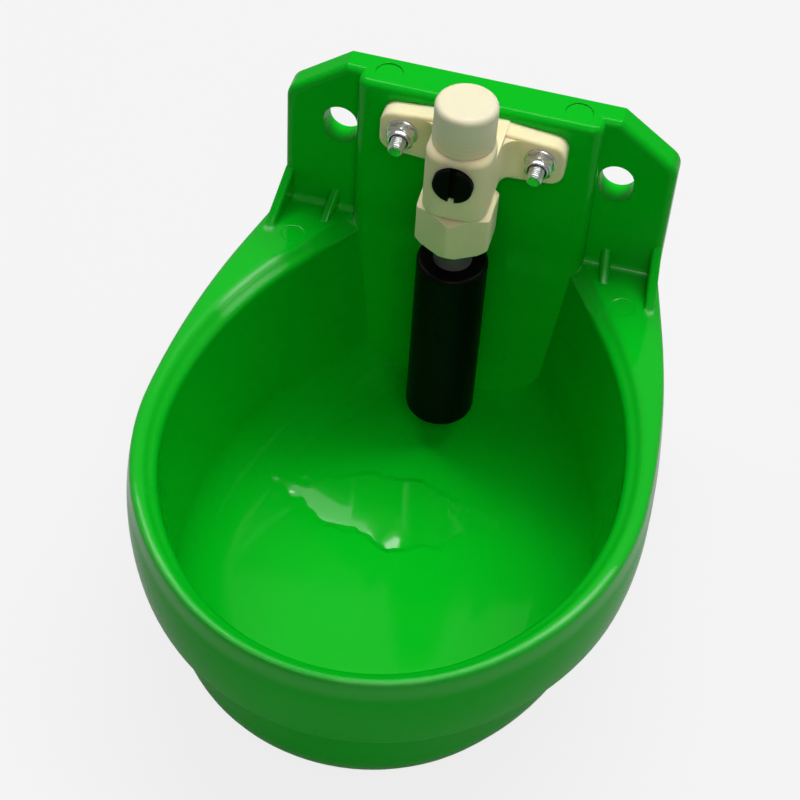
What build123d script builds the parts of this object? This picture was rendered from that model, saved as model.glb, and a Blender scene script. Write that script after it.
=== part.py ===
from build123d import *
from math import atan2, cos, degrees, pi, radians, sin, tan
import os

os.makedirs("parts", exist_ok=True)

# Frame: the wall is the plane y = 0 and the bowl reaches out along -y; +z is up and +x is to the
# right of someone who faces the wall. The origin lies on the wall, midway between the two screw slots.

# ---- back plate ----------------------------------------------------------------------------------
plate_height = 160.0        # foot to top edge
plate_width = 152.4
plate_top_width = 105.4     # what the two cut corners leave of the top edge
plate_cut_height = 17.2
plate_foot_width = 100.0    # below the rim, where the bowl covers it
plate_skin = 3.5            # wall that the coring leaves in front
plate_flange = 3.0          # wall round the cored back
plate_edge_round = 3.0
plate_corner_round = 8.0
ear_depth = 10.0            # wall to the front face beside the pad
pad_depth = 16.2            # wall to the pad that carries the valve
pad_width = 94.0
pad_corner_round = 5.0
slot_height = 131.1         # foot to the middle of the wall slots
slot_spacing = 108.4
slot_width = 13.5
slot_length = 17.5
slot_boss_wall = 3.0
rib_width = 2.0
rib_pitch_x = 21.0
rib_pitch_z = 22.0
mark_diameter = 10.5        # ejector pin marks on the top edge
mark_depth = 0.5
mark_spacing = 72.8
mark_from_wall = 7.8

# ---- bowl ----------------------------------------------------------------------------------------
rim_height = 88.6           # foot to the top of the rim
rim_half_width = 95.5
rim_reach = 229.0           # wall to the front of the rim
rim_narrowing = 9.2         # half width less the plan radius of the rim's front
rim_shoulder = 19.3         # half width less what the rim keeps where it meets the wall
rim_flank = 13.5            # degrees between the rim's rear flank and the y axis
rim_front_stretch = 9.8     # how much longer the front half is than a half circle
rim_drop = 35.0             # depth of the turned-down edge
rim_lean = 2.0              # how far the rim's top and foot draw in from its fullest level
rim_tuck = 1.2
rim_fullest = 19.0          # top of the rim down to its fullest level
rim_edge_round = 1.2
rim_wall = 3.0
crest_from_side = 6.2       # the crest round the mouth, in from the rim's side and from its front
crest_from_front = 3.2
mouth_narrowing = 9.4
mouth_shoulder = 43.3       # half width less what the mouth keeps at the plate
mouth_flank = 32.3
crest_width = 5.5           # the lead-in slope inside the crest
crest_fall = 4.5
bowl_draft = 7.0            # width lost by the wall from the lead-in to the floor
bowl_wall = 4.0
floor_height = 8.0          # foot to the inside of the floor
floor_round = 20.0
foot_half_width = 46.0
foot_half_length = 66.0
foot_wall = 4.0
channel_rib_angles = (-150, -125, -90, -55, -30, 57, 123)
gusset_thickness = 4.0
gusset_ridge_round = 1.5
outer_gusset_height = 15.5
outer_gusset_length = 21.5
outer_gusset_flare = 7.5
inner_gusset_height = 9.5
inner_gusset_length = 11.5
inner_gusset_flare = 9.0
inner_gusset_spacing = 110.5
shelf_cove = 3.0             # hollow between the shelf and the plate

# ---- valve ---------------------------------------------------------------------------------------
axis_from_wall = 40.0
bolt_height = 146.3         # foot to the valve's two bolts
bolt_spacing = 52.7
wing_span = 71.0
wing_thickness = 7.5
wing_root_height = 21.5
wing_tip_height = 17.5
wing_corner_round = 5.5
wing_edge_round = 1.5
wing_drop = 1.2             # bolts to the middle of the flange
body_half_width = 12.4
body_front = 13.2           # axis to the flat face round the regulator
body_corner_round = 8.0
body_edge_round = 2.0
body_height = 163.5         # foot to the body's top
body_bottom_height = 136.5
body_rear_height = 156.5
web_round = 6.0
inlet_thread = 20.955       # G 1/2
inlet_length = 15.0
inlet_bore = 12.0
spigot_diameter = 24.6
spigot_length = 12.2
chamber_diameter = 18.6
chamber_height = 141.0      # foot to the chamber's roof

cap_edge_round = 2.4
cap_wall = 1.05
cap_top = 1.6
cap_lift = 0.3              # gap under the cap's skirt
cap_clearance = 0.06        # radial, over the thread
cap_headroom = 1.2

screw_diameter = 15.0
screw_height = 153.4
screw_from_axis = 15.5      # axis to the outer face
screw_length = 9.0
screw_slot = 2.4
screw_slot_depth = 3.0
screw_pitch = 1.5
screw_turns = 1.0           # each way from the stored setting
throttle_diameter = 9.0
throttle_length = 6.5
throttle_tip = 4.0
screw_edge_chamfer = 0.6
screw_clearance = 0.05
screw_end_gap = 0.5         # left behind the screw at its inner stop
port_clearance = 0.5
oring_cord = 1.6
oring_sides = 8
oring_from_face = 5.6
oring_clearance = 0.12
oring_side_gap = 0.25

nut_across_flats = 28.0
nut_height = 17.8
nut_clearance = 0.1         # radial, in the threads
nut_floor = 2.4
nut_opening = 20.4
nut_top_chamfer = 1.2
nut_top_chamfer_width = 2.1
nut_bottom_chamfer = 1.2
nut_edge_round = 2.0

seat_washer_thickness = 1.4
seat_washer_bore = 10.0
seal_thickness = 3.0
seal_bore = 9.2
head_diameter = 16.0
head_thickness = 2.5
head_boss_diameter = 6.0
head_boss_height = 2.2
pin_diameter = 6.0
spring_wire = 0.8
spring_mean_diameter = 11.0
spring_coils = 5
spring_wire_sides = 6
spring_gap = 0.2

collar_diameter = 15.0
collar_drop = 7.3           # seal to the collar's top
collar_flange_diameter = 18.4
collar_flange_thickness = 2.0
collar_edge_chamfer = 0.5
tube_diameter = 27.6
tube_bore = 20.0
tube_web = 3.0
tube_top_round = 1.5
tube_drop = 20.1            # seal to the tube's top
tube_length = 84.0
tube_end_round = 3.0
tube_clearance = 0.05
pin_end_height = 2.5
pin_end_diameter = 9.0

bolt_diameter = 6.0
bolt_length = 25.0
bolt_head_flats = 10.0
bolt_head_height = 4.0
bolt_hole_clearance = 0.3
bolt_pocket_clearance = 0.2
bolt_boss_wall = 2.5
bolt_tip_chamfer = 0.7
washer_diameter = 12.0
washer_thickness = 1.0
bolt_nut_height = 5.0
bolt_tip_from_wing = 11.4
bolt_nut_chamfer = 0.6
bolt_thread_clearance = 0.05

# ---- levels and places that follow from those sizes --------------------------------------------------
z_foot = -slot_height
z_top = z_foot + plate_height
z_rim = z_foot + rim_height
z_lead = z_rim - crest_fall
z_floor = z_foot + floor_height
z_under = z_floor - bowl_wall
z_skirt = z_rim - rim_drop
z_fullest = z_rim - rim_fullest
z_bolt = z_foot + bolt_height
z_body_top = z_foot + body_height
z_body_bottom = z_foot + body_bottom_height
z_inlet_top = z_body_top + inlet_length
z_chamber = z_foot + chamber_height
z_seal = z_body_bottom - spigot_length
z_seat_washer = z_seal - seal_thickness
z_nut_floor = z_seat_washer - seat_washer_thickness
z_nut_bottom = z_nut_floor - nut_floor
z_head_top = z_seal + head_thickness
z_collar_top = z_seal - collar_drop
z_tube_top = z_seal - tube_drop
z_screw = z_foot + screw_height
z_web = z_tube_top - tube_web
z_pin_end = z_web - collar_flange_thickness - pin_end_height
rim_nose = rim_half_width - rim_narrowing
rim_back_half = rim_half_width - rim_shoulder
widest_from_wall = rim_reach - rim_half_width - rim_front_stretch
mouth_half_width = rim_half_width - crest_from_side
mouth_reach = rim_reach - crest_from_front
mouth_nose = mouth_half_width - mouth_narrowing
mouth_back_half = mouth_half_width - mouth_shoulder
y_axis = -axis_from_wall
y_ear = -ear_depth
y_pad = -pad_depth
y_wing = y_pad - wing_thickness
y_body_front = y_axis - body_front
y_screw_face = y_axis - screw_from_axis
y_screw_stop = y_screw_face + screw_length + screw_turns * screw_pitch + screw_end_gap
y_oring = y_screw_face + oring_from_face
oring_radius = screw_diameter / 2 + screw_clearance - oring_clearance - oring_cord / 2
y_bolt_head = y_wing - bolt_tip_from_wing + bolt_length


def drum(radius, z_low, z_high, y=0.0, x=0.0):
    """Upright round bar between two levels."""
    return Pos(x, y, z_low) * Cylinder(radius, z_high - z_low, align=(Align.CENTER, Align.CENTER, Align.MIN))


def peg(radius, y_front, y_back, x=0.0, z=0.0):
    """Round bar along y between two depths."""
    lying = Pos(x, y_front, z) * Rot(-90, 0, 0)
    return lying * Cylinder(radius, y_back - y_front, align=(Align.CENTER, Align.CENTER, Align.MIN))


def block(x_size, y_front, y_back, z_low, z_high, x=0.0):
    """Box centred on x, between two depths and two levels."""
    middle = Pos(x, (y_front + y_back) / 2, (z_low + z_high) / 2)
    return middle * Box(x_size, y_back - y_front, z_high - z_low)


def teardrop(back_half, back_y, flank, half_width, reach, nose, level, line_y=None):
    """Plan face of the bowl: straight rear flanks, then arcs to the widest point and round the nose.

    Half-width back_half is held on the line y = line_y; the flank runs on from there to y = back_y.
    """
    line_y = back_y if line_y is None else line_y
    lean = radians(flank)
    corner_x = back_half + (line_y - back_y) * tan(lean)
    run = (widest_from_wall + line_y) * sin(lean)
    rear = ((back_half - half_width) * cos(lean) + run) / (1 - cos(lean))
    rear_centre = half_width - rear
    nose_y = -(reach - nose)
    ahead = -nose_y - widest_from_wall
    side = (half_width**2 + ahead**2 - nose**2) / (2 * (half_width - nose))
    turn = degrees(atan2(ahead, side - half_width))
    meet = (rear_centre + rear * cos(lean), -widest_from_wall + rear * sin(lean))
    half = Curve() + [
        Line((corner_x, back_y), meet),
        CenterArc((rear_centre, -widest_from_wall), rear, flank, -flank),
        CenterArc((half_width - side, -widest_from_wall), side, 0, -turn),
    ]
    outline = half + mirror(half, Plane.YZ)
    outline += CenterArc((0, nose_y), nose, -turn, -(180 - 2 * turn))
    outline += Line((corner_x, back_y), (-corner_x, back_y))
    return Pos(0, 0, level) * make_face(outline)


def rim_plan(inset, back_y, level):
    """The rim's outer outline, moved inwards by inset."""
    back_half = rim_back_half - inset / cos(radians(rim_flank))
    return teardrop(
        back_half, back_y, rim_flank, rim_half_width - inset, rim_reach - inset,
        rim_nose - inset, level, 0.0,
    )


def mouth_plan(inset, back_y, level):
    """The crest's outline, moved inwards by inset; its rear corners are held on the ear face."""
    back_half = mouth_back_half - inset / cos(radians(mouth_flank))
    return teardrop(
        back_half, back_y, mouth_flank, mouth_half_width - inset, mouth_reach - inset,
        mouth_nose - inset, level, y_ear,
    )


# ---- bowl ----------------------------------------------------------------------------------------
def bowl_room():
    """What the bowl holds: the lead-in slope, the drafted wall and a floor with a generous radius."""
    crest = mouth_plan(0, y_ear, z_rim).face()
    foot_of_lead = mouth_plan(crest_width, y_ear, z_lead).face()
    lead = loft([crest, foot_of_lead], ruled=True)
    return lead + hollow(crest_width, y_ear, z_lead, z_floor, floor_round)


def bowl_skin():
    """The bowl's outer form, one wall thickness outside its room, carried back to the wall."""
    return hollow(crest_width - bowl_wall, 0.0, z_rim, z_under, floor_round + bowl_wall)


def hollow(inset, back_y, z_high, z_low, radius):
    """Drafted teardrop whose curved sides run into its floor; its back stays plain."""
    upper = mouth_plan(inset, back_y, z_high).face()
    lower = mouth_plan(inset + bowl_draft, back_y, z_low).face()
    body = loft([upper, lower], ruled=True)
    floor_edges = body.edges().group_by(Axis.Z)[0]
    return fillet(floor_edges.filter_by(lambda edge: edge.center().Y < back_y - 1), radius)


def rim_body(inset, back_y, z_high):
    """Rolled rim as a solid, moved inwards by inset: full at its middle, drawn in above and below."""
    sections = [
        rim_plan(inset + rim_tuck, back_y, z_skirt).face(),
        rim_plan(inset, back_y, z_fullest).face(),
        rim_plan(inset + rim_lean, back_y, z_high).face(),
    ]
    return loft(sections)


def rim_shell():
    """The rim's outer form, its top edge rounded except where the plate stands on it."""
    body = rim_body(0, 0, z_rim)
    top_edges = body.edges().group_by(Axis.Z)[-1]
    return fillet(top_edges.filter_by(lambda edge: edge.center().Y < -1), rim_edge_round)


def channel_ribs():
    """Short ribs that tie the turned-down edge to the bowl, square to the rim."""
    ribs = Part()
    for angle in channel_rib_angles:
        direction = Pos(0, -widest_from_wall, 0) * Rot(0, 0, angle)
        outward = Pos(rim_reach / 2, 0, (z_skirt + z_rim) / 2)
        ribs += direction * outward * Box(rim_reach, rib_width, rim_drop)
    return ribs


def plate_profile(inset):
    """Front view of the back plate, moved inwards by inset: cut top corners, narrower below the rim."""
    half = plate_width / 2
    foot_half = plate_foot_width / 2
    points = [
        (plate_top_width / 2, z_top), (half, z_top - plate_cut_height), (half, z_skirt),
        (foot_half, z_skirt - (half - foot_half)), (foot_half, z_foot),
    ]
    right = [(x, z) for x, z in points]
    left = [(-x, z) for x, z in reversed(points)]
    face = make_face(Polyline(*right, *left, close=True))
    side_corners = face.vertices().filter_by(lambda vertex: z_foot + 1 < vertex.Y < z_top - 1)
    face = fillet(side_corners, plate_corner_round)
    return offset(face, -inset) if inset else face


def upright(face, y_front, y_back):
    """Solid with the given front view between two depths."""
    return extrude(Plane.XZ.offset(-y_back) * face, amount=y_back - y_front)


def back_plate():
    """The plate as a solid, with the pad for the valve standing out of it."""
    plate = upright(plate_profile(0), y_ear, 0)
    front_edges = plate.edges().group_by(Axis.Y)[0]
    upper_front = front_edges.filter_by(lambda edge: edge.center().Z > z_rim)
    plate = fillet(upper_front, plate_edge_round)
    pad = block(pad_width, y_pad, y_ear / 2, z_under, z_top)
    pad = fillet(pad.edges().filter_by(Axis.Z).group_by(Axis.Y)[0], pad_corner_round)
    front_top = pad.edges().group_by(Axis.Z)[-1].filter_by(lambda edge: edge.center().Y < y_ear)
    return plate + fillet(front_top, plate_edge_round)


def plate_holes():
    """Wall slots, bolt holes with their hexagon pockets, and the shallow marks on the top edge."""
    holes = Part()
    slot = Rot(0, 0, 90) * SlotOverall(slot_length, slot_width)
    for side in (-1, 1):
        holes += upright(Pos(side * slot_spacing / 2, 0) * slot, y_pad, 0)
        bolt_x = side * bolt_spacing / 2
        holes += peg(bolt_diameter / 2 + bolt_hole_clearance, y_pad, 0, bolt_x, z_bolt)
        pocket = hexagon(bolt_head_flats + 2 * bolt_pocket_clearance)
        holes += upright(Pos(bolt_x, z_bolt) * pocket, y_bolt_head, 0)
        mark_y = -mark_from_wall
        holes += drum(mark_diameter / 2, z_top - mark_depth, z_top, mark_y, side * mark_spacing / 2)
    return holes


def hexagon(flats):
    """Hexagon with two corners up, by its size across flats."""
    return Rot(0, 0, 30) * RegularPolygon(flats / 2, 6, major_radius=False)


def plate_coring():
    """Pockets in the back of the plate: a waffle of ribs, with bosses left round every hole."""
    profile = plate_profile(plate_flange)
    shallow = upright(profile, y_ear + plate_skin, 0)
    deep_width = pad_width - 2 * (plate_skin + pad_corner_round / 2)
    deep = upright(Rectangle(deep_width, 4 * plate_height) & profile, y_pad + plate_skin, 0)
    pockets = shallow + deep
    columns = int(plate_width / 2 / rib_pitch_x)
    for column in range(-columns, columns + 1):
        pockets -= block(rib_width, y_pad, 0, z_foot, z_top, column * rib_pitch_x)
    level = z_foot + rib_pitch_z
    while level < z_top:
        pockets -= block(plate_width, y_pad, 0, level - rib_width / 2, level + rib_width / 2)
        level += rib_pitch_z
    boss = Rot(0, 0, 90) * SlotOverall(slot_length + 2 * slot_boss_wall, slot_width + 2 * slot_boss_wall)
    pocket_radius = (bolt_head_flats / 2 + bolt_pocket_clearance) / cos(pi / 6)
    for side in (-1, 1):
        pockets -= upright(Pos(side * slot_spacing / 2, 0) * boss, y_pad, 0)
        pockets -= peg(pocket_radius + bolt_boss_wall, y_pad, 0, side * bolt_spacing / 2, z_bolt)
    return pockets


def gusset(height, length, flare, x):
    """Three-cornered web between the shelf of the rim and the plate, turned out by flare degrees."""
    web = make_face(Polyline((0, 0), (0, height), (-length, 0), close=True))
    web = Plane.YZ * web
    solid = extrude(web, amount=gusset_thickness)
    sloping = solid.edges().filter_by(lambda edge: edge.length > length)
    solid = fillet(sloping, gusset_ridge_round)
    return Pos(x, y_ear + 0.5, z_rim) * Rot(0, 0, flare) * solid


def gussets():
    """Two webs at each side: a tall one along the plate's edge and a short one by the crest."""
    outer_x = plate_width / 2 - gusset_thickness
    outer = gusset(outer_gusset_height, outer_gusset_length, outer_gusset_flare, outer_x)
    inner_x = (inner_gusset_spacing - gusset_thickness) / 2
    inner = gusset(inner_gusset_height, inner_gusset_length, inner_gusset_flare, inner_x)
    return outer + inner + mirror(outer + inner, Plane.YZ)


def shelf_coves():
    """Hollow fillets between the plate and the shelf, from the pad out to the plate's edges."""
    corner = Rectangle(shelf_cove, shelf_cove, align=(Align.MAX, Align.MIN))
    corner -= Pos(-shelf_cove, shelf_cove) * Circle(shelf_cove)
    half_length = plate_width / 2 - plate_edge_round
    strip = extrude(Plane.YZ * corner, amount=half_length, both=True)
    strip -= block(2 * mouth_back_half, -pad_depth, 0, 0, shelf_cove)
    return Pos(0, y_ear, z_rim) * strip


def foot_ring():
    """Flat-bottomed rib under the floor that the bowl stands on, together with the plate."""
    outside = Ellipse(foot_half_width, foot_half_length)
    ring = outside - Ellipse(foot_half_width - foot_wall, foot_half_length - foot_wall)
    return Pos(0, -widest_from_wall, z_foot) * extrude(ring, amount=z_under + bowl_wall / 2 - z_foot)


def make_bowl():
    """One moulding: bowl, rolled rim with its ribbed channel, foot and cored back plate."""
    skin = bowl_skin()
    channel = rim_body(rim_wall, y_ear, z_rim - rim_wall) - skin - channel_ribs()
    bowl = rim_shell() - channel + skin + foot_ring()
    bowl = bowl - bowl_room() + back_plate() + gussets() + shelf_coves()
    return bowl - plate_coring() - plate_holes()


# ---- valve ---------------------------------------------------------------------------------------
def wing_face(inset=0.0):
    """Front view of the flange that bolts to the pad: two ears that taper to rounded tips."""
    root, tip, half = wing_root_height / 2, wing_tip_height / 2, wing_span / 2
    top = [(body_half_width, root), (half, tip)]
    right = top + [(x, -z) for x, z in reversed(top)]
    left = [(-x, z) for x, z in reversed(right)]
    face = make_face(Polyline(*right, *left, close=True))
    tips = face.vertices().filter_by(lambda vertex: abs(vertex.X) > half - 1)
    face = Pos(0, z_bolt - wing_drop) * fillet(tips, wing_corner_round)
    return offset(face, -inset) if inset else face


def wing_flange():
    """The flange as a solid, with its front edges rounded."""
    wings = upright(wing_face(), y_wing, y_pad)
    return fillet(wings.edges().group_by(Axis.Y)[0], wing_edge_round)


def body_block():
    """Rounded block round the valve's axis, higher in front than behind."""
    front = Pos(0, (y_axis + y_body_front) / 2) * Rectangle(2 * body_half_width, y_axis - y_body_front)
    front = fillet(front.vertices().group_by(Axis.Y)[0], body_corner_round)
    rear = Pos(0, (y_pad + y_axis) / 2) * Rectangle(2 * body_half_width, y_pad - y_axis)
    rear_rise = z_foot + body_rear_height - z_body_bottom
    lower = Pos(0, 0, z_body_bottom) * extrude(front + rear, amount=rear_rise)
    barrel = Pos(0, 0, z_body_bottom) * extrude(
        front + Pos(0, y_axis) * Circle(body_half_width), amount=z_body_top - z_body_bottom
    )
    return lower + fillet(barrel.edges().group_by(Axis.Z)[-1], body_edge_round)


def body_webs():
    """Hollow-cornered webs between the block's sides and the front of the flange."""
    reach = body_half_width + web_round
    corner = Pos(0, y_wing) * Rectangle(2 * reach, 2 * web_round)
    for side in (-1, 1):
        corner -= Pos(side * reach, y_wing - web_round) * Circle(web_round)
    height = z_foot + body_rear_height - z_body_bottom
    webs = Pos(0, 0, z_body_bottom) * extrude(corner, amount=height)
    return webs & upright(wing_face(wing_edge_round), y_wing - web_round, y_wing + web_round / 2)


def make_valve_body():
    """Moulded body: flange, block, threaded inlet above, threaded spigot below, and its waterway."""
    body = wing_flange() + body_block() + body_webs()
    body += drum(spigot_diameter / 2, z_seal, z_body_bottom, y_axis)
    body += drum(inlet_thread / 2, z_body_top, z_inlet_top, y_axis)
    body -= drum(inlet_bore / 2, z_seal, z_inlet_top, y_axis)
    body -= drum(chamber_diameter / 2, z_seal, z_chamber, y_axis)
    body -= peg(screw_diameter / 2 + screw_clearance, y_body_front, y_screw_stop, 0, z_screw)
    body -= peg(throttle_diameter / 2 + port_clearance, y_body_front, y_axis, 0, z_screw)
    for side in (-1, 1):
        hole = peg(bolt_diameter / 2 + bolt_hole_clearance, y_wing, y_pad, side * bolt_spacing / 2, z_bolt)
        body -= hole
    return body


def make_inlet_cap():
    """Thin cap that covers the inlet thread until the pipe is fitted."""
    inside = inlet_thread / 2 + cap_clearance
    z_low = z_body_top + cap_lift
    z_roof = z_inlet_top + cap_headroom
    cap = drum(inside + cap_wall, z_low, z_roof + cap_top, y_axis)
    cap = fillet(cap.edges().group_by(Axis.Z)[-1], cap_edge_round)
    return cap - drum(inside, z_low, z_roof, y_axis)


def make_regulator_screw():
    """Slotted screw across the inlet bore, with a tapered nose that throttles the flow."""
    radius = screw_diameter / 2
    y_back = y_screw_face + screw_length
    screw = peg(radius, y_screw_face, y_back, 0, z_screw)
    screw = chamfer(screw.edges().group_by(Axis.Y)[0], screw_edge_chamfer)
    base_up = (Align.CENTER, Align.CENTER, Align.MIN)
    nose = Cone(throttle_diameter / 2, throttle_tip / 2, throttle_length, align=base_up)
    nose = Pos(0, y_back, z_screw) * Rot(-90, 0, 0) * nose
    y_slot = y_screw_face + screw_slot_depth
    slot = block(screw_slot, y_screw_face, y_slot, z_screw - radius, z_screw + radius)
    half_groove = oring_cord / 2 + oring_side_gap
    groove = peg(radius + 1, y_oring - half_groove, y_oring + half_groove, 0, z_screw)
    groove -= peg(oring_radius - oring_cord / 2 - oring_clearance, y_screw_face, y_back, 0, z_screw)
    return screw + nose - slot - groove


def make_regulator_oring():
    """Ring that seals the regulator screw in its bore."""
    section = Pos(oring_radius, 0) * RegularPolygon(oring_cord / 2, oring_sides)
    ring = revolve(Plane.XZ * section, Axis.Z)
    return Pos(0, y_oring, z_screw) * Rot(90, 0, 0) * ring


def make_union_nut():
    """Hexagon union nut that clamps the seat against the spigot, with chamfered corners."""
    z_high = z_nut_bottom + nut_height
    corner = (nut_across_flats / 2 - nut_edge_round) / cos(pi / 6) + nut_edge_round
    turned = drum(corner, z_nut_bottom, z_high, y_axis)
    turned = chamfer(turned.edges().group_by(Axis.Z)[-1], nut_top_chamfer, nut_top_chamfer_width)
    turned = chamfer(turned.edges().group_by(Axis.Z)[0], nut_bottom_chamfer)
    outline = fillet(hexagon(nut_across_flats).vertices(), nut_edge_round)
    prism = Pos(0, y_axis, z_nut_bottom) * extrude(outline, amount=nut_height)
    nut = prism & turned
    nut -= drum(spigot_diameter / 2 + nut_clearance, z_nut_floor, z_high, y_axis)
    return nut - drum(nut_opening / 2, z_nut_bottom, z_high, y_axis)


def clamped_ring(bore, z_low, z_high):
    """Flat ring held between the spigot and the floor of the union nut."""
    return drum(spigot_diameter / 2, z_low, z_high, y_axis) - drum(bore / 2, z_low, z_high, y_axis)


def make_valve_stem():
    """Head that rests on the seal, and the pin that carries the tube below it."""
    stem = drum(head_diameter / 2, z_seal, z_head_top, y_axis)
    stem += drum(head_boss_diameter / 2, z_head_top, z_head_top + head_boss_height, y_axis)
    stem += drum(pin_diameter / 2, z_pin_end, z_seal, y_axis)
    return stem + drum(pin_end_diameter / 2, z_pin_end, z_pin_end + pin_end_height, y_axis)


def make_valve_spring():
    """Coil spring that presses the head onto its seal."""
    z_low = z_head_top + spring_gap + spring_wire / 2
    height = z_chamber - spring_gap - spring_wire / 2 - z_low
    path = Pos(0, y_axis, z_low) * Helix(height / spring_coils, height, spring_mean_diameter / 2)
    section = Plane(origin=path @ 0, z_dir=path % 0) * RegularPolygon(spring_wire / 2, spring_wire_sides)
    return sweep(section, path=path, is_frenet=True)


def make_tube_collar():
    """Sleeve on the pin whose flange carries the tube from inside."""
    collar = drum(collar_diameter / 2, z_web, z_collar_top, y_axis)
    collar = chamfer(collar.edges().group_by(Axis.Z)[-1], collar_edge_chamfer)
    collar += drum(collar_flange_diameter / 2, z_web - collar_flange_thickness, z_web, y_axis)
    return collar - drum(pin_diameter / 2, z_pin_end, z_collar_top, y_axis)


def make_push_tube():
    """Thick tube that the animal pushes: closed round the collar above, open and rounded below."""
    z_low = z_tube_top - tube_length
    tube = drum(tube_diameter / 2, z_low, z_tube_top, y_axis)
    tube = fillet(tube.edges().group_by(Axis.Z)[-1], tube_top_round)
    tube = fillet(tube.edges().group_by(Axis.Z)[0], tube_end_round)
    tube -= drum(tube_bore / 2, z_low, z_web, y_axis)
    return tube - drum(collar_diameter / 2 + tube_clearance, z_web, z_tube_top, y_axis)


# ---- fasteners -----------------------------------------------------------------------------------
def at_bolts(piece):
    """One copy of a piece on each of the two bolt lines."""
    return Pos(-bolt_spacing / 2, 0, z_bolt) * piece + Pos(bolt_spacing / 2, 0, z_bolt) * piece


def make_valve_bolt():
    """Hexagon bolt that comes through from its pocket in the back of the plate."""
    shank = peg(bolt_diameter / 2, y_bolt_head - bolt_length, y_bolt_head)
    shank = chamfer(shank.edges().group_by(Axis.Y)[0], bolt_tip_chamfer)
    return shank + upright(hexagon(bolt_head_flats), y_bolt_head, y_bolt_head + bolt_head_height)


def make_bolt_washer():
    """Washer on the front of the flange."""
    y_front = y_wing - washer_thickness
    ring = peg(washer_diameter / 2, y_front, y_wing)
    return ring - peg(bolt_diameter / 2 + bolt_hole_clearance, y_front, y_wing)


def make_bolt_nut():
    """Hexagon nut on the bolt's tip."""
    y_back = y_wing - washer_thickness
    y_front = y_back - bolt_nut_height
    cone = peg(bolt_head_flats / 2 / cos(pi / 6), y_front, y_back)
    cone = chamfer(cone.edges().group_by(Axis.Y)[0], bolt_nut_chamfer)
    nut = upright(hexagon(bolt_head_flats), y_front, y_back) & cone
    return nut - peg(bolt_diameter / 2 + bolt_thread_clearance, y_front, y_back)


nodes = {
    "bowl": make_bowl(),
    "valve_body": make_valve_body(),
    "inlet_cap": make_inlet_cap(),
    "regulator_screw": make_regulator_screw(),
    "regulator_oring": make_regulator_oring(),
    "union_nut": make_union_nut(),
    "seat_washer": clamped_ring(seat_washer_bore, z_nut_floor, z_seat_washer),
    "seat_seal": clamped_ring(seal_bore, z_seat_washer, z_seal),
    "valve_stem": make_valve_stem(),
    "valve_spring": make_valve_spring(),
    "tube_collar": make_tube_collar(),
    "push_tube": make_push_tube(),
    "valve_bolts": at_bolts(make_valve_bolt()),
    "bolt_washers": at_bolts(make_bolt_washer()),
    "bolt_nuts": at_bolts(make_bolt_nut()),
}
for name, solid in nodes.items():
    export_step(solid, f"parts/{name}.step")
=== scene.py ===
import bmesh
import bpy
import numpy as np
from mathutils import Matrix, Vector


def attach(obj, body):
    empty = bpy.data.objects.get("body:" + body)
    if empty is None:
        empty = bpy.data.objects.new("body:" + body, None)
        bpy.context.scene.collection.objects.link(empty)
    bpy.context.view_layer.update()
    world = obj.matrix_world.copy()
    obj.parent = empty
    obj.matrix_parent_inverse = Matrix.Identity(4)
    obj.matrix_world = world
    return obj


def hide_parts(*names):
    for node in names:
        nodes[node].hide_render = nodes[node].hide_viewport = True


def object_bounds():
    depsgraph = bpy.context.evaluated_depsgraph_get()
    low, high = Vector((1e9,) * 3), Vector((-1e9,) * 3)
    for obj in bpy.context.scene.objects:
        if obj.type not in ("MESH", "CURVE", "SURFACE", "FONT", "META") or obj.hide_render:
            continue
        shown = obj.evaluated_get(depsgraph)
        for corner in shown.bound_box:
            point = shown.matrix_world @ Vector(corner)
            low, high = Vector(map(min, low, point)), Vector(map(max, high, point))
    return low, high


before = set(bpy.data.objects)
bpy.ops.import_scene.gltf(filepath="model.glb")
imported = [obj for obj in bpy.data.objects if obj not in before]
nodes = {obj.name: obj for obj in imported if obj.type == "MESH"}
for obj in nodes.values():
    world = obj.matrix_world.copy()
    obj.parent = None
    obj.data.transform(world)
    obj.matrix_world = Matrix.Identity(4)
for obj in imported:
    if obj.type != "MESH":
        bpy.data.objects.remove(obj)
cad_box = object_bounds()
scene = bpy.context.scene
scene.view_settings.view_transform = "Standard"


# ---- camera --------------------------------------------------------------------------------------
# Stands in front of the bowl, a little to its right and well above the rim, and looks down into it.
# A long lens from 0.77 m; the frame is tipped slightly, as a hand-held camera's is.
camera_place = Vector((0.097195, -0.57672, 0.508053))
camera_azimuth, camera_elevation, camera_roll = np.radians((11.958, 48.647, 4.159))
away = Vector((
    np.sin(camera_azimuth) * np.cos(camera_elevation),
    -np.cos(camera_azimuth) * np.cos(camera_elevation),
    np.sin(camera_elevation),
))
level_right = Vector((np.cos(camera_azimuth), np.sin(camera_azimuth), 0.0))
level_up = away.cross(level_right)
camera_right = level_right * np.cos(camera_roll) + level_up * np.sin(camera_roll)
camera_up = level_up * np.cos(camera_roll) - level_right * np.sin(camera_roll)
camera = bpy.data.objects.new("camera", bpy.data.cameras.new("camera"))
camera.data.sensor_width = 36.0
camera.data.lens = 89.758
camera_turn = Matrix((camera_right, camera_up, away)).transposed().to_4x4()
camera.matrix_world = Matrix.Translation(camera_place) @ camera_turn
scene.collection.objects.link(camera)
scene.camera = camera


# ---- floor, backdrop and lights ------------------------------------------------------------------
# White paper under one wide soft box, high up and a little behind, so the back plate shades the back
# of the bowl. A small window stands further back: a shiny mark on the bowl's floor mirrors it.
def number_step(tree, operation, *values, kind="ShaderNodeMath"):
    """Math node of a node tree on sockets or constants; gives its result."""
    node = tree.nodes.new(kind)
    node.operation = operation
    for socket, value in zip(node.inputs, values):
        if isinstance(value, bpy.types.NodeSocket):
            tree.links.new(value, socket)
        else:
            socket.default_value = value
    return next(socket for socket in node.outputs if socket.enabled)


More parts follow.
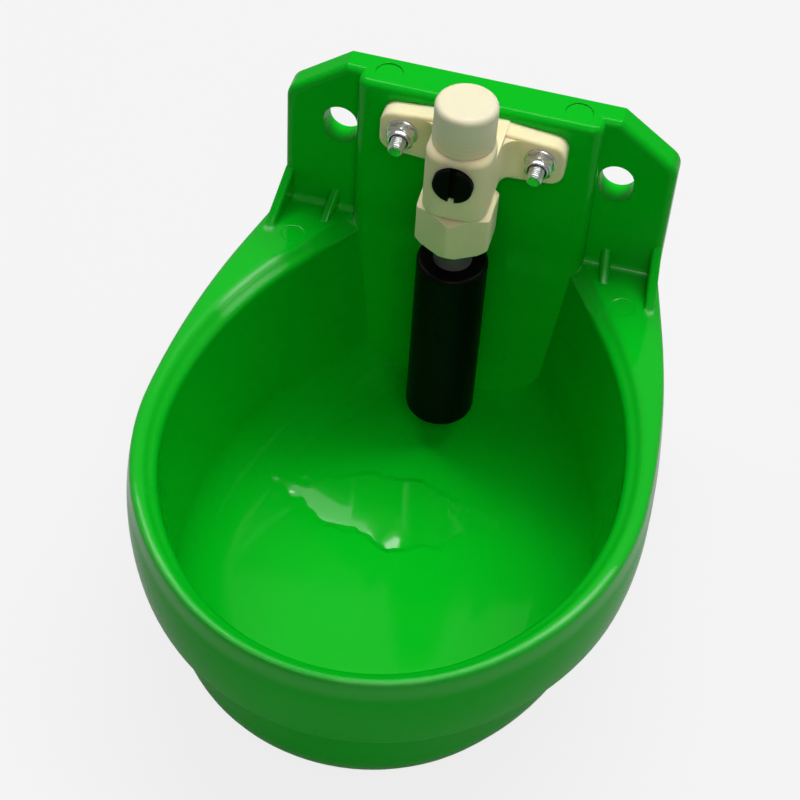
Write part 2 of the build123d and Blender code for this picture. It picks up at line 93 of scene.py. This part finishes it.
def seen_white(tree, lit, camera_share, mirror_share):
    """The lit surface mixed with white: one share to camera rays and one to mirror and glass rays."""
    path = tree.nodes.new("ShaderNodeLightPath")
    mirrored = number_step(
        tree, "MAXIMUM", path.outputs["Is Glossy Ray"], path.outputs["Is Transmission Ray"]
    )
    weight = number_step(
        tree, "MAXIMUM",
        number_step(tree, "MULTIPLY", path.outputs["Is Camera Ray"], camera_share),
        number_step(tree, "MULTIPLY", mirrored, mirror_share),
    )
    white = tree.nodes.new("ShaderNodeEmission")
    mixed = tree.nodes.new("ShaderNodeMixShader")
    tree.links.new(weight, mixed.inputs[0])
    tree.links.new(lit.outputs[0], mixed.inputs[1])
    tree.links.new(white.outputs[0], mixed.inputs[2])
    return mixed


paper_half, paper_drop, paper_grey = 3.0, 0.0002, 0.52
floor_level = cad_box[0][2] - paper_drop
floor_mesh = bpy.data.meshes.new("floor")
floor_signs = ((-1, -1), (1, -1), (1, 1), (-1, 1))
floor_corners = [(x * paper_half, y * paper_half, floor_level) for x, y in floor_signs]
floor_mesh.from_pydata(floor_corners, [], [(0, 1, 2, 3)])
floor = bpy.data.objects.new("floor", floor_mesh)
scene.collection.objects.link(floor)
paper = bpy.data.materials.new("white paper")
paper.use_nodes = True
paper_tree = paper.node_tree
paper_lit = paper_tree.nodes["Principled BSDF"]
paper_lit.inputs["Base Color"].default_value = (paper_grey, paper_grey, paper_grey, 1)
paper_lit.inputs["Roughness"].default_value = 0.9
paper_shown = seen_white(paper_tree, paper_lit, camera_share=0.82, mirror_share=0.05)
paper_tree.links.new(paper_shown.outputs[0], paper_tree.nodes["Material Output"].inputs["Surface"])
floor_mesh.materials.append(paper)

world = bpy.data.worlds.new("studio")
scene.world = world
world.use_nodes = True
world_tree = world.node_tree
sky = world_tree.nodes["Background"]
sky.inputs["Color"].default_value = (1, 1, 1, 1)
sky.inputs["Strength"].default_value = 0.03
world_shown = seen_white(world_tree, sky, camera_share=1.0, mirror_share=0.3)
world_tree.links.new(world_shown.outputs[0], world_tree.nodes["World Output"].inputs["Surface"])


def soft_box(name, place, aim, width, height, power):
    """Rectangular lamp at place that faces aim."""
    lamp = bpy.data.lights.new(name, "AREA")
    lamp.shape = "RECTANGLE"
    lamp.size, lamp.size_y, lamp.energy = width, height, power
    holder = bpy.data.objects.new(name, lamp)
    turn = (Vector(place) - Vector(aim)).to_track_quat("Z", "Y").to_matrix().to_4x4()
    holder.matrix_world = Matrix.Translation(place) @ turn
    scene.collection.objects.link(holder)


soft_box("overhead", (0.0, 0.48, 1.55), aim=(0, -0.12, -0.1), width=2.6, height=0.6, power=33)
soft_box("fill", (0.35, -1.15, 1.2), aim=(0, -0.05, 0.0), width=0.8, height=0.8, power=5.8)
soft_box(
    "window", (-0.143, 0.546, 1.003), aim=(-0.008, -0.09, -0.123), width=0.40, height=0.22, power=0.3
)


# ---- bowl ----------------------------------------------------------------------------------------
# Bowl, rim and back plate are one injection moulding in bright green polypropylene. The mould is
# polished, so the skin is glossy, with faint clouds and sink marks where the plastic shrank.
def moulded_skin():
    """Shader group for moulded plastic: clouded colour, uneven gloss, sink waves and a fine grain."""
    group = bpy.data.node_groups.new("moulded skin", "ShaderNodeTree")
    face = group.interface
    face.new_socket("Place", in_out="INPUT", socket_type="NodeSocketVector")
    face.new_socket("Colour", in_out="INPUT", socket_type="NodeSocketColor")
    for name, value in (
        ("Cloud Scale", 30.0), ("Cloud Strength", 0.05), ("Roughness", 0.3),
        ("Roughness Spread", 0.06), ("Wave Scale", 25.0), ("Wave Height", 0.0),
        ("Grain Scale", 900.0), ("Grain Height", 0.0),
    ):
        socket = face.new_socket(name, in_out="INPUT", socket_type="NodeSocketFloat")
        socket.default_value = value
    face.new_socket("Colour", in_out="OUTPUT", socket_type="NodeSocketColor")
    face.new_socket("Roughness", in_out="OUTPUT", socket_type="NodeSocketFloat")
    face.new_socket("Height", in_out="OUTPUT", socket_type="NodeSocketFloat")
    inside, link = group.nodes, group.links.new
    given = inside.new("NodeGroupInput")
    out = inside.new("NodeGroupOutput")

    def noise(scale_name, detail):
        texture = inside.new("ShaderNodeTexNoise")
        texture.inputs["Detail"].default_value = detail
        link(given.outputs["Place"], texture.inputs["Vector"])
        link(given.outputs[scale_name], texture.inputs["Scale"])
        return number_step(group, "SUBTRACT", texture.outputs["Fac"], 0.5)

    def weighed(value, name, start):
        return number_step(group, "MULTIPLY_ADD", value, given.outputs[name], start)

    tone = inside.new("ShaderNodeHueSaturation")
    link(given.outputs["Colour"], tone.inputs["Color"])
    link(weighed(noise("Cloud Scale", 3.0), "Cloud Strength", 1.0), tone.inputs["Value"])
    link(tone.outputs[0], out.inputs["Colour"])
    gloss = weighed(noise("Cloud Scale", 6.0), "Roughness Spread", given.outputs["Roughness"])
    link(gloss, out.inputs["Roughness"])
    waves = weighed(noise("Wave Scale", 1.0), "Wave Height", 0.0)
    link(weighed(noise("Grain Scale", 2.0), "Grain Height", waves), out.inputs["Height"])
    return group


skin_group = moulded_skin()


def moulded(name, colour, **values):
    """Plastic with the moulded skin; values are the group's inputs. Gives material and skin node."""
    material = bpy.data.materials.new(name)
    material.use_nodes = True
    tree = material.node_tree
    shader = tree.nodes["Principled BSDF"]
    place = tree.nodes.new("ShaderNodeTexCoord")
    skin = tree.nodes.new("ShaderNodeGroup")
    skin.node_tree = skin_group
    tree.links.new(place.outputs["Object"], skin.inputs["Place"])
    skin.inputs["Colour"].default_value = (*colour, 1)
    for key, value in values.items():
        skin.inputs[key.replace("_", " ").title()].default_value = value
    tree.links.new(skin.outputs["Colour"], shader.inputs["Base Color"])
    tree.links.new(skin.outputs["Roughness"], shader.inputs["Roughness"])
    bump = tree.nodes.new("ShaderNodeBump")
    bump.inputs["Strength"].default_value = 1.0
    bump.inputs["Distance"].default_value = 1.0
    tree.links.new(skin.outputs["Height"], bump.inputs["Height"])
    tree.links.new(bump.outputs["Normal"], shader.inputs["Normal"])
    return material, skin


def paint(node, material):
    """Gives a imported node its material."""
    nodes[node].data.materials.clear()
    nodes[node].data.materials.append(material)


green_polypropylene, green_skin = moulded(
    "green polypropylene", (0.001, 0.52, 0.013), cloud_scale=14.0, cloud_strength=0.10,
    roughness=0.09, roughness_spread=0.03, wave_scale=34.0, wave_height=0.00015,
    grain_scale=1400.0, grain_height=0.0000015,
)
green_shader = green_polypropylene.node_tree.nodes["Principled BSDF"]
green_shader.inputs["Specular IOR Level"].default_value = 0.09
green_tree = green_polypropylene.node_tree


def vector_step(tree, operation, *values):
    """Vector math node of a node tree on sockets or constants; gives its result."""
    return number_step(tree, operation, *values, kind="ShaderNodeVectorMath")


def axes_of(tree, vector):
    """The X, Y and Z of a vector socket."""
    node = tree.nodes.new("ShaderNodeSeparateXYZ")
    tree.links.new(vector, node.inputs[0])
    return node.outputs


def ramp(tree, value, start, end, smooth=False):
    """Value from 0 at start to 1 at end, clamped."""
    node = tree.nodes.new("ShaderNodeMapRange")
    node.interpolation_type = "SMOOTHSTEP" if smooth else "LINEAR"
    node.inputs["From Min"].default_value, node.inputs["From Max"].default_value = start, end
    tree.links.new(value, node.inputs["Value"])
    return node.outputs["Result"]


# A shiny mark lies on the bowl's floor. The distance from its middle, in units of its reach, is warped
# by noise: the mark is whole up to 0.75 and gone at 1. It is coated and leans towards the front.
mark_middle, mark_reach = (-0.008, -0.091, -0.1231), (0.044, 0.019, 0.003)
mark_whole, mark_gone, mark_tilt = 0.75, 1.0, 0.07
mark_noise_scale, mark_warp = 60.0, (1.1, 1.1, 0.0)
green_bump = green_tree.nodes["Bump"]
place = green_tree.nodes["Texture Coordinate"].outputs["Object"]
from_middle = vector_step(green_tree, "SUBTRACT", place, mark_middle)
scaled = vector_step(green_tree, "MULTIPLY", from_middle, tuple(1 / reach for reach in mark_reach))
ragged = green_tree.nodes.new("ShaderNodeTexNoise")
ragged.inputs["Scale"].default_value = mark_noise_scale
ragged.inputs["Detail"].default_value = 2.0
green_tree.links.new(place, ragged.inputs["Vector"])
warp = vector_step(green_tree, "SUBTRACT", ragged.outputs["Color"], (0.5, 0.5, 0.5))
warp = vector_step(green_tree, "MULTIPLY", warp, mark_warp)
distance = vector_step(green_tree, "LENGTH", vector_step(green_tree, "ADD", scaled, warp))
mark = ramp(green_tree, distance, mark_gone, mark_whole, smooth=True)
lean = number_step(green_tree, "MULTIPLY", axes_of(green_tree, from_middle)["Y"], mark_tilt)
relief = number_step(green_tree, "MULTIPLY_ADD", lean, mark, green_skin.outputs["Height"])

# Round ejector marks are sunk 0.15 mm into both shelves.
pin_middle, pin_stretch = (0.0666, 0.0306, 0.0425), (1.0, 1.0, 0.4)
pin_inside, pin_outside, pin_depth = 0.0043, 0.0048, 0.00015
from_pin = vector_step(green_tree, "SUBTRACT", vector_step(green_tree, "ABSOLUTE", place), pin_middle)
from_pin = vector_step(green_tree, "MULTIPLY", from_pin, pin_stretch)
off_pin = ramp(
    green_tree, vector_step(green_tree, "LENGTH", from_pin), pin_inside, pin_outside, smooth=True
)
relief = number_step(green_tree, "MULTIPLY_ADD", off_pin, pin_depth, relief)
green_tree.links.new(relief, green_bump.inputs["Height"])

# Shading rounds every edge by 0.6 mm, and by 5 mm at the lip, where the mouth rolls over into the rim.
# The lip is coated too. Each band runs from where the effect ends to where it is whole.
lip_level, lip_band, off_plate = 0.0455, (0.010, 0.006), (-0.024, -0.034)
lip_extra_round, edge_round = 0.0045, 0.0006
coat_band, coat_weight, coat_roughness = (0.0065, 0.003), 0.6, 0.04
axes = axes_of(green_tree, place)
off_lip = number_step(green_tree, "ABSOLUTE", number_step(green_tree, "ADD", axes["Z"], lip_level))
clear_of_plate = ramp(green_tree, axes["Y"], *off_plate)
lip = number_step(green_tree, "MULTIPLY", ramp(green_tree, off_lip, *lip_band), clear_of_plate)
rounding = number_step(green_tree, "MULTIPLY_ADD", lip, lip_extra_round, edge_round)
rounded = green_tree.nodes.new("ShaderNodeBevel")
rounded.samples = 8
green_tree.links.new(rounding, rounded.inputs["Radius"])
green_tree.links.new(rounded.outputs["Normal"], green_bump.inputs["Normal"])
coated = number_step(green_tree, "MULTIPLY", ramp(green_tree, off_lip, *coat_band), coat_weight)
shiny = number_step(green_tree, "MAXIMUM", mark, coated)
green_tree.links.new(shiny, green_shader.inputs["Coat Weight"])
green_shader.inputs["Coat Roughness"].default_value = coat_roughness
green_tree.links.new(green_bump.outputs["Normal"], green_shader.inputs["Coat Normal"])
paint("bowl", green_polypropylene)


# ---- valve body ----------------------------------------------------------------------------------
# Moulded in natural nylon, left uncoloured: a milky, slightly yellow plastic that light sinks into.
# The flange lies on the plate's pad under two studs, and the body stands out of it.
def natural_nylon(name, colour, **values):
    """Nylon that scatters light below its surface; values go to the moulded skin."""
    material, skin = moulded(name, colour, **values)
    shader = material.node_tree.nodes["Principled BSDF"]
    shader.inputs["Subsurface Weight"].default_value = 0.7
    shader.inputs["Subsurface Radius"].default_value = (1.0, 0.9, 0.5)
    shader.inputs["Subsurface Scale"].default_value = 0.002
    shader.inputs["Specular IOR Level"].default_value = 0.25
    return material, skin


body_nylon, body_skin = natural_nylon(
    "natural nylon", (0.96, 0.83, 0.53), cloud_scale=70.0, cloud_strength=0.08, roughness=0.42,
    roughness_spread=0.1, wave_scale=90.0, wave_height=0.00004,
    grain_scale=2600.0, grain_height=0.000004,
)

# The inlet's thread is a helix in the relief: the flank rises to half a pitch and falls again, outside
# the bore and within the inlet's length.
axis_place, inlet_pitch, bore_edge = (0.0, 0.04, 0.0), 0.001814, 0.0095
thread_middle, thread_reach, flank_rise = 0.0399, 0.0066, 0.0014
body_tree = body_nylon.node_tree
body_place = body_tree.nodes["Texture Coordinate"].outputs["Object"]
round_axis = vector_step(body_tree, "ADD", body_place, axis_place)
body_axes = axes_of(body_tree, round_axis)
turned = number_step(body_tree, "ARCTAN2", body_axes["Y"], body_axes["X"])
climb = number_step(body_tree, "MULTIPLY", turned, -1 / (2 * np.pi))
helix = number_step(body_tree, "MULTIPLY_ADD", body_axes["Z"], 1 / inlet_pitch, climb)
flank = number_step(body_tree, "PINGPONG", helix, 0.5)
flat = vector_step(body_tree, "MULTIPLY", round_axis, (1.0, 1.0, 0.0))
outside = number_step(body_tree, "GREATER_THAN", vector_step(body_tree, "LENGTH", flat), bore_edge)
within = number_step(body_tree, "COMPARE", body_axes["Z"], thread_middle, thread_reach)
on_thread = number_step(body_tree, "MULTIPLY", outside, within)
rise = number_step(body_tree, "MULTIPLY", flank, flank_rise)
thread = number_step(body_tree, "MULTIPLY", rise, on_thread)
body_relief = number_step(body_tree, "ADD", thread, body_skin.outputs["Height"])
body_tree.links.new(body_relief, body_tree.nodes["Bump"].inputs["Height"])
paint("valve_body", body_nylon)


# ---- inlet cap -----------------------------------------------------------------------------------
# Thin moulded nylon cap pushed over the inlet's thread to keep it clean until the pipe is fitted.
# The thread under it shows through the skirt as faint rings. These are painted shade: a darker yellow
# that rises and falls with the thread's pitch.
cap_nylon, cap_skin = natural_nylon(
    "cap nylon", (0.96, 0.85, 0.61), cloud_scale=60.0, cloud_strength=0.05, roughness=0.4,
    roughness_spread=0.1, wave_scale=80.0, wave_height=0.00003,
    grain_scale=2600.0, grain_height=0.000003,
)
# Painted shade of the thread seen through the cap: rings of darker yellow along the thread's length.
rings_band, rings_swing, rings_mean, thread_shade_colour = (0.0425, 0.0365), 0.3, 0.5, (0.87, 0.78, 0.40)
cap_tree = cap_nylon.node_tree
cap_height = axes_of(cap_tree, cap_tree.nodes["Texture Coordinate"].outputs["Object"])["Z"]
over_thread = ramp(cap_tree, cap_height, *rings_band)
ring_turn = number_step(cap_tree, "MULTIPLY", cap_height, 2 * np.pi / inlet_pitch)
rings = number_step(cap_tree, "SINE", ring_turn)
thread_shade_share = number_step(cap_tree, "MULTIPLY_ADD", rings, rings_swing, rings_mean)
tint = cap_tree.nodes.new("ShaderNodeMix")
tint.data_type = "RGBA"
cap_tree.links.new(number_step(cap_tree, "MULTIPLY", thread_shade_share, over_thread), tint.inputs[0])
cap_tree.links.new(cap_skin.outputs["Colour"], tint.inputs[6])
tint.inputs[7].default_value = (*thread_shade_colour, 1)
cap_tree.links.new(tint.outputs[2], cap_tree.nodes["Principled BSDF"].inputs["Base Color"])
paint("inlet_cap", cap_nylon)


# ---- regulator screw and its ring ----------------------------------------------------------------
# Black acetal screw across the inlet bore; a coin or a screwdriver in its slot sets the flow. A
# rubber ring in its groove seals it.
black_acetal, _ = moulded(
    "black acetal", (0.002, 0.002, 0.002), cloud_scale=120.0, cloud_strength=0.3, roughness=0.5,
    roughness_spread=0.12, wave_scale=160.0, wave_height=0.00001,
    grain_scale=2600.0, grain_height=0.000004,
)
black_acetal.node_tree.nodes["Principled BSDF"].inputs["Specular IOR Level"].default_value = 0.05
paint("regulator_screw", black_acetal)
black_rubber, _ = moulded(
    "black rubber", (0.012, 0.012, 0.012), cloud_scale=200.0, cloud_strength=0.3, roughness=0.6,
    roughness_spread=0.1, grain_scale=3000.0, grain_height=0.000004,
)
paint("regulator_oring", black_rubber)


# ---- union nut, seat washer and seal -------------------------------------------------------------
# Hexagon nut moulded in the same nylon. It clamps a rubber seal and a stainless washer against the
# valve's spigot; both are hidden inside it.
paint("union_nut", body_nylon)
paint("seat_seal", black_rubber)


def turned_metal(name, colour, roughness, spread):
    """Bare metal whose gloss varies a little over the surface."""
    material = bpy.data.materials.new(name)
    material.use_nodes = True
    tree = material.node_tree
    shader = tree.nodes["Principled BSDF"]
    shader.inputs["Base Color"].default_value = (*colour, 1)
    shader.inputs["Metallic"].default_value = 1.0
    place = tree.nodes.new("ShaderNodeTexCoord")
    cloud = tree.nodes.new("ShaderNodeTexNoise")
    cloud.inputs["Scale"].default_value = 600.0
    cloud.inputs["Detail"].default_value = 4.0
    tree.links.new(place.outputs["Object"], cloud.inputs["Vector"])
    gloss = tree.nodes.new("ShaderNodeMapRange")
    gloss.inputs["To Min"].default_value = roughness - spread
    gloss.inputs["To Max"].default_value = roughness + spread
    tree.links.new(cloud.outputs["Fac"], gloss.inputs["Value"])
    tree.links.new(gloss.outputs["Result"], shader.inputs["Roughness"])
    return material


stainless = turned_metal("stainless steel", (0.58, 0.57, 0.55), 0.3, 0.08)
paint("seat_washer", stainless)


# ---- stem, spring, collar and push tube ----------------------------------------------------------
# Stainless stem and spring inside the valve. The stem's pin hangs through the nut and carries a grey
# sleeve, and on it the thick black tube that the animal pushes.
paint("valve_stem", stainless)
paint("valve_spring", stainless)
grey_acetal, _ = moulded(
    "grey acetal", (0.14, 0.125, 0.13), cloud_scale=150.0, cloud_strength=0.15, roughness=0.4,
    roughness_spread=0.1, wave_scale=200.0, wave_height=0.00001,
)
paint("tube_collar", grey_acetal)
black_polyethylene, _ = moulded(
    "black polyethylene", (0.001, 0.001, 0.001), cloud_scale=60.0, cloud_strength=0.4, roughness=0.42,
    roughness_spread=0.15, wave_scale=70.0, wave_height=0.00004,
    grain_scale=2000.0, grain_height=0.000005,
)
black_polyethylene.node_tree.nodes["Principled BSDF"].inputs["Specular IOR Level"].default_value = 0.08
paint("push_tube", black_polyethylene)


# ---- bolts, washers and lock nuts ----------------------------------------------------------------
# Two zinc-plated M6 bolts come through from the back of the plate. Washers and nylon-ring lock nuts
# hold the valve's flange on them.
thread_pitch, thread_depth = 0.001, 0.00061
bolt_radius, bolt_tip_radius, bolt_tip_rise = 0.00298, 0.0022, 0.0011
tip_level, head_level, head_end = -0.0351, -0.0101, -0.0061
bolt_x, bolt_z = 0.02635, 0.0152
bolt_columns, thread_steps = 48, 8      # faces round the bolt, rows in one pitch
half_flats = 0.0049                     # bolt line to the flats of a nut or a head
sharp_angle, nut_sharp_angle = 0.7, 0.5


def closed_grid(grid, shift):
    """Quads of a (rows, columns, 3) grid closed round its columns: row r meets row r + shift there."""
    rows, columns = grid.shape[:2]
    index = np.arange(rows * columns).reshape(rows, columns)
    corners = (index[:-1, :-1], index[:-1, 1:], index[1:, 1:], index[1:, :-1])
    low, high = index[:rows - 1 - shift, -1], index[1:rows - shift, -1]
    seam = np.stack((low, index[shift:-1, 0], index[shift + 1:, 0], high), -1)
    return np.concatenate((np.stack(corners, -1).reshape(-1, 4), seam))


def mesh_of(name, parts, materials, sharp):
    """Object from (points, quads, material number) parts, as one mesh.

    Doubles are merged, faces point outwards, and edges over the sharp angle stay sharp.
    """
    counts = np.cumsum([0] + [len(points) for points, _, _ in parts])
    mesh = bpy.data.meshes.new(name)
    mesh.from_pydata(
        np.concatenate([points for points, _, _ in parts]).tolist(), [],
        np.concatenate([quads + start for (_, quads, _), start in zip(parts, counts)]).tolist(),
    )
    for material in materials:
        mesh.materials.append(material)
    numbers = np.concatenate([np.full(len(quads), number, np.int32) for _, quads, number in parts])
    mesh.polygons.foreach_set("material_index", numbers)
    clean = bmesh.new()
    clean.from_mesh(mesh)
    bmesh.ops.remove_doubles(clean, verts=clean.verts, dist=1e-7)
    bmesh.ops.recalc_face_normals(clean, faces=clean.faces)
    clean.to_mesh(mesh)
    clean.free()
    mesh.shade_smooth()
    mesh.set_sharp_from_angle(angle=sharp)
    piece = bpy.data.objects.new(name, mesh)
    scene.collection.objects.link(piece)
    return piece


def along_bolt(radius, turn, level):
    """Points at a radius and turn round a bolt line that runs along y: x = r cos t, z = r sin t."""
    radius, turn, level = np.broadcast_arrays(radius, turn, level)
    return np.stack((radius * np.cos(turn), level, radius * np.sin(turn)), -1)


def turned_round(outline, columns):
    """Outline of (level, radius) pairs turned round a bolt line."""
    level, radius = np.array(outline).T[:, :, None]
    return along_bolt(radius, np.linspace(0, 2 * np.pi, columns, endpoint=False), level)


def threaded_shank(crest_share=0.15, flank_share=0.65):
    """Screw surface whose rows follow the thread, cut off at both ends.

    The level is y = pitch (row / rows in a pitch + turn / 2 pi). Across one pitch the radius falls from
    the crest to the root as a smooth step of its distance from the crest, and near the tip it stays
    under a quarter ellipse, so the end is domed.
    """
    rows = int((head_level - tip_level) / thread_pitch * thread_steps) + 3 * thread_steps
    row = np.arange(rows)[:, None]
    turn = np.linspace(0, 2 * np.pi, bolt_columns, endpoint=False)[None, :]
    level = tip_level + thread_pitch * (row / thread_steps - 1 + turn / (2 * np.pi))
    level = np.clip(level, tip_level, head_level)
    from_crest = np.abs(2 * (row / thread_steps % 1) - 1)
    slope = np.clip((from_crest - crest_share) / flank_share, 0, 1)
    radius = bolt_radius - thread_depth * slope * slope * (3 - 2 * slope)
    rise = np.clip((level - tip_level) / bolt_tip_rise, 0, 1)
    dome = bolt_tip_radius + (bolt_radius - bolt_tip_radius) * np.sqrt(1 - (1 - rise) ** 2)
    return along_bolt(np.minimum(radius, dome), turn, level)


def hexagon_shell(outline, columns=96):
    """Turned outline of (level, radius) pairs cut to a hexagon with two corners up.

    The radius is the smaller of the outline's and that of the hexagon, half_flats / cos(turn from the
    middle of the nearest flat), so every chamfer leaves the arcs that turning leaves on a hexagon.
    """
    turn = np.linspace(0, 2 * np.pi, columns, endpoint=False)[None, :]
    level, limit = np.array(outline).T
    flat = half_flats / np.cos((turn + np.pi / 6) % (np.pi / 3) - np.pi / 6)
    return along_bolt(np.minimum(limit[:, None], flat), turn, level[:, None])


def on_both_bolts(grid, shift=0, number=0):
    """The grid's points and quads on the left and the right bolt line, with their material number."""
    quads = closed_grid(grid, shift)
    points = grid.reshape(-1, 3)
    return [(points + (side * bolt_x, 0, bolt_z), quads, number) for side in (-1, 1)]


zinc = turned_metal("zinc plate", (0.66, 0.67, 0.66), 0.25, 0.08)
tip = turned_round([(tip_level, 0.0), (tip_level, bolt_tip_radius)], bolt_columns)
head = hexagon_shell([
    (head_level, 0.0), (head_level, 0.0056), (head_end - 0.0004, 0.0058), (head_end - 0.0002, 0.0055),
    (head_end, 0.0048), (head_end, 0.0),
])
bolt_parts = on_both_bolts(threaded_shank(), thread_steps) + on_both_bolts(tip) + on_both_bolts(head)
bolts = mesh_of("plated_bolts", bolt_parts, [zinc], sharp_angle)
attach(bolts, "frame")
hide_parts("valve_bolts")

washer_back, washer_front, washer_radius, washer_bore = -0.0237, -0.0247, 0.00595, 0.0033
washer = turned_round([
    (washer_back, washer_bore), (washer_back, washer_radius - 0.0001),
    (washer_back - 0.0001, washer_radius), (washer_front + 0.0003, washer_radius),
    (washer_front, washer_radius - 0.0003), (washer_front, washer_bore + 0.0001),
    (washer_front + 0.0001, washer_bore), (washer_back, washer_bore),
], columns=72)
washers = mesh_of("plated_washers", on_both_bolts(washer), [zinc], sharp_angle)
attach(washers, "frame")
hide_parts("bolt_washers")

nut_back, nut_shoulder, nut_front = washer_front, -0.0283, -0.0297
nut = hexagon_shell([
    (nut_back, 0.0031), (nut_back, 0.0048), (nut_back - 0.00035, 0.0058),
    (nut_shoulder + 0.0006, 0.0058), (nut_shoulder + 0.0003, 0.0054), (nut_shoulder, 0.0047),
    (nut_shoulder - 0.0001, 0.00445), (nut_front + 0.0006, 0.0044), (nut_front + 0.0002, 0.0042),
    (nut_front, 0.0039), (nut_front + 0.0001, 0.0036), (nut_front + 0.0006, 0.0035),
])
ring = hexagon_shell([
    (nut_front + 0.0007, 0.0036), (nut_front + 0.00035, 0.0034), (nut_front + 0.0004, 0.0031),
    (nut_front + 0.0009, 0.00305), (nut_back, 0.00305),
])
lock_ring, _ = moulded("lock ring nylon", (0.02, 0.025, 0.022), roughness=0.4, cloud_scale=300.0)
nut_parts = on_both_bolts(nut) + on_both_bolts(ring, number=1)
lock_nuts = mesh_of("lock_nuts", nut_parts, [zinc, lock_ring], nut_sharp_angle)
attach(lock_nuts, "frame")
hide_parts("bolt_nuts")
